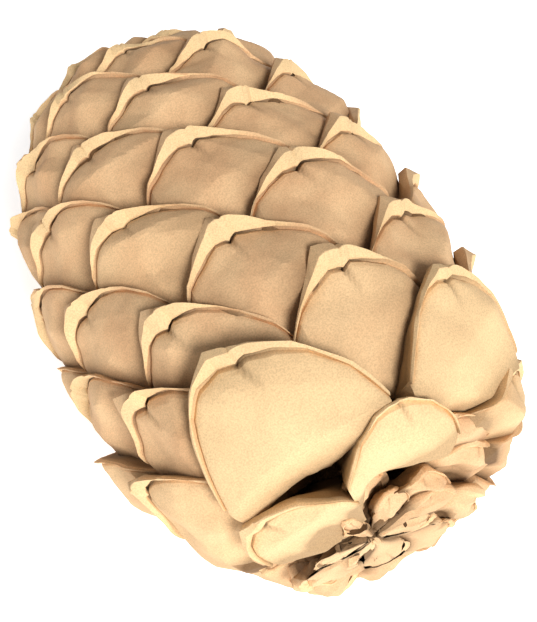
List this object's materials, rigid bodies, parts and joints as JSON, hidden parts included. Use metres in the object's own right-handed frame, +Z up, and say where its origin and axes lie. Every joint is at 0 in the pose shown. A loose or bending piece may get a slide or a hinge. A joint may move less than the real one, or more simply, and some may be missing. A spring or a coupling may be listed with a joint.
{
  "type": "pine cone",
  "caption": "Closed woody pine cone lying on its side: domed seed scales with folded lips, set on a spiral around a woody axis with a broken stalk.",
  "frame": {"origin": "bottom centre of the bounding box, on the surface that the cone lies on", "axes": "+Z up, +Y along the cone's own axis from the stalk to the tip, +X across it"},
  "size_m": [0.078, 0.1174, 0.0819],
  "materials": {
    "scale_wood": "dry, matte, pale tan scale wood with fine grain and darker creases",
    "axis_wood": "dry, rough, darker broken stalk wood"
  },
  "bodies": {
    "root": {"scale_01": "scale_wood", "scale_02": "scale_wood", "scale_03": "scale_wood", "scale_04": "scale_wood", "scale_05": "scale_wood", "scale_06": "scale_wood", "scale_07": "scale_wood", "scale_08": "scale_wood", "scale_09": "scale_wood", "scale_10": "scale_wood", "scale_11": "scale_wood", "scale_12": "scale_wood", "scale_13": "scale_wood", "scale_14": "scale_wood", "scale_15": "scale_wood", "scale_16": "scale_wood", "scale_17": "scale_wood", "scale_18": "scale_wood", "scale_19": "scale_wood", "scale_20": "scale_wood", "scale_21": "scale_wood", "scale_22": "scale_wood", "scale_23": "scale_wood", "scale_24": "scale_wood", "scale_25": "scale_wood", "scale_26": "scale_wood", "scale_27": "scale_wood", "scale_28": "scale_wood", "scale_29": "scale_wood", "scale_30": "scale_wood", "scale_31": "scale_wood", "scale_32": "scale_wood", "scale_33": "scale_wood", "scale_34": "scale_wood", "scale_35": "scale_wood", "scale_36": "scale_wood", "scale_37": "scale_wood", "scale_38": "scale_wood", "scale_39": "scale_wood", "scale_40": "scale_wood", "scale_41": "scale_wood", "scale_42": "scale_wood", "scale_43": "scale_wood", "scale_44": "scale_wood", "scale_45": "scale_wood", "scale_46": "scale_wood", "scale_47": "scale_wood", "scale_48": "scale_wood", "scale_49": "scale_wood", "scale_50": "scale_wood", "scale_51": "scale_wood", "scale_52": "scale_wood", "scale_53": "scale_wood", "scale_54": "scale_wood", "scale_55": "scale_wood", "scale_56": "scale_wood", "tip_scales": "scale_wood", "base_scales": "scale_wood", "cone_axis": "axis_wood"}
  },
  "joints": []
}
